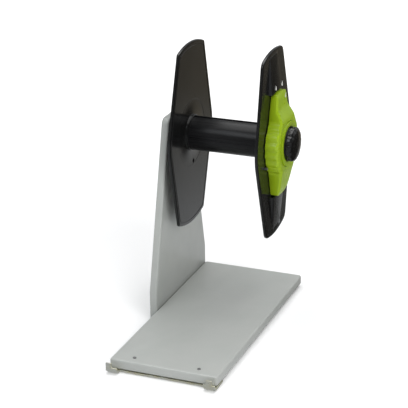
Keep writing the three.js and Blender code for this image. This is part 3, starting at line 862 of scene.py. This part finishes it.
# ------------------------------------------------------------------ axle and its cap
def fluted(angle, radius, depth):
    """The cap's radius at an angle: twelve flutes, and a key slot at top and bottom."""
    slot_half, slot_floor = 7.1, 18.2
    turn = math.degrees(angle)
    wave = sum(bump(turn, 30 * i + 15, 5.2) for i in range(12))
    radius -= depth * min(wave, 1)
    for slot in (90, 270):
        away = abs((turn - slot + 180) % 360 - 180)
        if away < slot_half:
            radius = min(radius, slot_floor / math.cos(math.radians(away)))
    return radius


def end_cap():
    """Domed knob that closes the axle: a plain neck, a fluted grip and a shallow dome."""
    start, end = design_x("axle_end_cap")
    seat = start + 6.6
    dome_start = end - 4.8
    bore, neck, wide = 14.2, 17.0, 19.3
    flat = 10.3                 # where the dome's curve meets its flat middle
    flute_end = 15              # the flutes have run out where the dome is this narrow
    angles = full_turn(240)
    plain = [(start, bore), (start, neck), (seat, neck)]
    grip = [(seat, wide - 0.3, 0.0), (seat + 0.3, wide, 0.0), (seat + 1.2, wide, 0.2),
            (seat + 2.0, wide, 0.9), (dome_start, wide, 1.0)]
    for turn in (12, 24, 36, 48, 60, 70, 80):
        a = math.radians(turn)
        x = dome_start + (end - dome_start - 1.1) * math.sin(a)
        grip.append((x, flat + (wide - flat) * math.cos(a), math.cos(a) ** 0.7))
    middle = [(end - 0.1, 8.0), (end, 4.0), (end, 0.2)]
    loops = [[about_axis(x, radius, a) for a in angles] for x, radius in plain]
    for x, radius, depth in grip:
        radii = [fluted(a, radius, depth) if radius > flute_end else radius for a in angles]
        loops.append([about_axis(x, r, a) for r, a in zip(radii, angles)])
    loops += [[about_axis(x, radius, a) for a in angles] for x, radius in middle]
    installed(lofted("end_cap", loops), "spool", "black_gloss", "axle_end_cap")


def axle():
    """The extruded axle tube with a keyway above and below and a parting groove each side."""
    start, end = design_x("axle_tube")
    radius, bore = 19.6, 17.1
    keyway_depth, keyway_half = 1.4, 2.4
    parting_depth, parting_half = 0.5, 0.45
    tube = turned("axle", [(start, bore), (start, radius - 0.3), (start + 0.3, radius),
                           (end - 0.3, radius), (end, radius - 0.3), (end, bore)], 144, ring=True)
    tools = []
    for side in (1, -1):
        low, high = sorted((side * (radius - keyway_depth), side * (radius + 1)))
        tools.append(box_mesh("keyway", (start - 1, AXIS_Y - keyway_half, AXIS_Z + low),
                              (end + 1, AXIS_Y + keyway_half, AXIS_Z + high)))
        low, high = sorted((side * (radius - parting_depth), side * (radius + 1)))
        tools.append(box_mesh("parting", (start - 1, AXIS_Y + low, AXIS_Z - parting_half),
                              (end + 1, AXIS_Y + high, AXIS_Z + parting_half)))
    tube = combined(tube, tools, "DIFFERENCE")
    rounded_edges(tube, 0.15, 40)
    installed(tube, "spool", "black_anodised", "axle_tube")


# ------------------------------------------------------------------ carried-over CAD parts
def dress_cad_nodes():
    """Gives every CAD node its material, welded and softly rounded edges."""
    slots = {entry["node"]: entry["material_slot"] for entry in frame["record"]["subparts"]}
    for name, node in frame["nodes"].items():
        node.data.materials.clear()
        node.data.materials.append(LOOKS[slots[name]])
        for face in node.data.polygons:
            face.use_smooth = True
        weld = node.modifiers.new("weld", "WELD")
        weld.merge_threshold = 0.004 * MM
        add_rounding(node, 0.15, 40)
        normals = node.modifiers.new("normals", "WEIGHTED_NORMAL")
        normals.weight = 80
        normals.keep_sharp = True


dress_cad_nodes()
folded_base()
folded_upright()
hooked_bracket()
inner_guide()
outer_guide()
green_ring()
end_cap()
axle()


# ------------------------------------------------------------------ floor, light, camera
def level_sheet(name, size, height):
    """A square level sheet centred under the object."""
    bm = bmesh.new()
    corners = [(-size, -size), (size, -size), (size, size), (-size, size)]
    bm.faces.new([bm.verts.new((x, y, height)) for x, y in corners])
    return object_from(name, bm)


def only_reflected(sheet):
    """Hides a sheet from everything but glossy surfaces."""
    sheet.visible_camera = False
    sheet.visible_diffuse = False
    sheet.visible_shadow = False
    sheet.visible_transmission = False


def stage_floor():
    """A pale floor that fills the view; glossy parts see the sheet just under it instead."""
    floor = level_sheet("floor", 9.0, 0.0)
    look = Look("floor", 0.9, 0.0, 0.0)
    tone = look.remapped(look.noise(3, 2.0), 0.3, 0.7)
    look.coloured(look.mixed(tone, (0.95, 0.95, 0.952), (0.96, 0.96, 0.96)))
    look.shader.inputs["Emission Color"].default_value = (1.0, 1.0, 1.0, 1.0)
    # the further from the object, the more the floor glows, so it stays pale to the edges
    away = look.nodes.new("ShaderNodeVectorMath")
    away.operation = "LENGTH"
    look.links.new(look.place, away.inputs[0])
    glow = look.remapped(away.outputs["Value"], 0.3, 1.8, 0.06, 0.9)
    look.links.new(glow, look.shader.inputs["Emission Strength"])
    floor.data.materials.append(look.material)
    floor.visible_glossy = False


def reflection_sheet():
    """What glossy parts mirror at floor level.

    Painted reflection: the sheet glows mid grey in front, pale behind and to the left, turning
    brown with distance, and dark to the right.
    """
    sheet = level_sheet("reflection_sheet", 6.0, -0.001)
    look = Look("reflection sheet", 1.0, 0.0, 0.0)
    look.coloured(look.mixed(look.noise(2), (0.01, 0.01, 0.01), (0.012, 0.012, 0.012)))
    split = look.nodes.new("ShaderNodeSeparateXYZ")
    look.links.new(look.place, split.inputs["Vector"])
    # the pale painted reflection lies to the left of a line that runs back and to the right
    across = look.nodes.new("ShaderNodeVectorMath")
    across.operation = "DOT_PRODUCT"
    across.inputs[1].default_value = (1.0, -0.402, 0.0)
    look.links.new(look.place, across.inputs[0])
    pale_reflection_mask = look.remapped(across.outputs["Value"], -0.005, -0.05)
    depth = look.remapped(split.outputs["Y"], 0.85, 0.30)
    tone = look.mixed(depth, (0.25, 0.222, 0.17), (0.58, 0.595, 0.605))
    behind = look.mixed(pale_reflection_mask, (0.03, 0.027, 0.022), tone)
    front = look.remapped(split.outputs["Y"], 0.1, -0.1)
    shade = look.mixed(front, behind, (0.42, 0.435, 0.46))
    # painted reflection: the sheet glows in these tones, which only glossy parts see
    look.links.new(shade, look.shader.inputs["Emission Color"])
    look.shader.inputs["Emission Strength"].default_value = 1.0
    sheet.data.materials.append(look.material)
    only_reflected(sheet)


def reflection_wall():
    """A pale wall behind the object that only glossy surfaces see, low above the floor."""
    wall = level_sheet("reflection_wall", 7.0, 0.0)
    wall.matrix_world = Matrix.Translation((1.0, 3.0, 3.65)) @ Matrix.Rotation(math.pi / 2, 4, "X")
    look = Look("reflection wall", 1.0, 0.0, 0.0)
    look.coloured(look.mixed(look.noise(2), (0.01, 0.01, 0.01), (0.012, 0.012, 0.012)))
    look.shader.inputs["Emission Color"].default_value = (0.97, 0.985, 1.0, 1.0)
    look.shader.inputs["Emission Strength"].default_value = 0.45
    wall.data.materials.append(look.material)
    only_reflected(wall)


def area_light(name, place, target, size, power, colour=(1, 1, 1)):
    """A soft rectangular light aimed at a point."""
    data = bpy.data.lights.new(name, "AREA")
    data.shape = "RECTANGLE"
    data.size, data.size_y = size
    data.energy = power
    data.color = colour
    lamp = bpy.data.objects.new(name, data)
    lamp.location = place
    lamp.rotation_euler = (Vector(target) - Vector(place)).to_track_quat("-Z", "Y").to_euler()
    bpy.context.scene.collection.objects.link(lamp)
    return lamp


def lighting():
    """Overhead soft box, a right-hand and a front fill, and an even, dim surround."""
    area_light("overhead", (-0.05, 0.3, 1.9), (0, 0, 0), (1.9, 1.9), 32)
    side = area_light("side", (1.5, -1.4, 1.2), (0, 0, 0.2), (1.4, 1.4), 27)
    side.visible_glossy = False
    area_light("front", (-0.6, -1.7, 1.7), (0, 0, 0.15), (1.2, 0.9), 11, (0.92, 0.96, 1.0))
    world = bpy.data.worlds.new("surround")
    world.use_nodes = True
    surround = world.node_tree.nodes["Background"]
    surround.inputs["Color"].default_value = (0.97, 0.98, 1.0, 1.0)
    surround.inputs["Strength"].default_value = 0.17
    bpy.context.scene.world = world
    bpy.context.scene.view_settings.view_transform = "Standard"


def camera():
    """A long lens from the front right, looking down along the base."""
    eye = at(644.4, -1328.1, 766.7)
    data = bpy.data.cameras.new("camera")
    data.sensor_width = 36.0
    data.lens = 135.4
    data.clip_start, data.clip_end = 0.05, 60.0
    view = bpy.data.objects.new("camera", data)
    heading, drop, roll = math.radians(21.87), math.radians(21.36), math.radians(-0.59)
    turn = Matrix.Rotation(heading, 4, "Z") @ Matrix.Rotation(math.pi / 2 - drop, 4, "X")
    turn = turn @ Matrix.Rotation(roll, 4, "Z")
    view.matrix_world = Matrix.Translation(eye) @ turn
    bpy.context.scene.collection.objects.link(view)
    bpy.context.scene.camera = view


stage_floor()
reflection_sheet()
reflection_wall()
lighting()
camera()
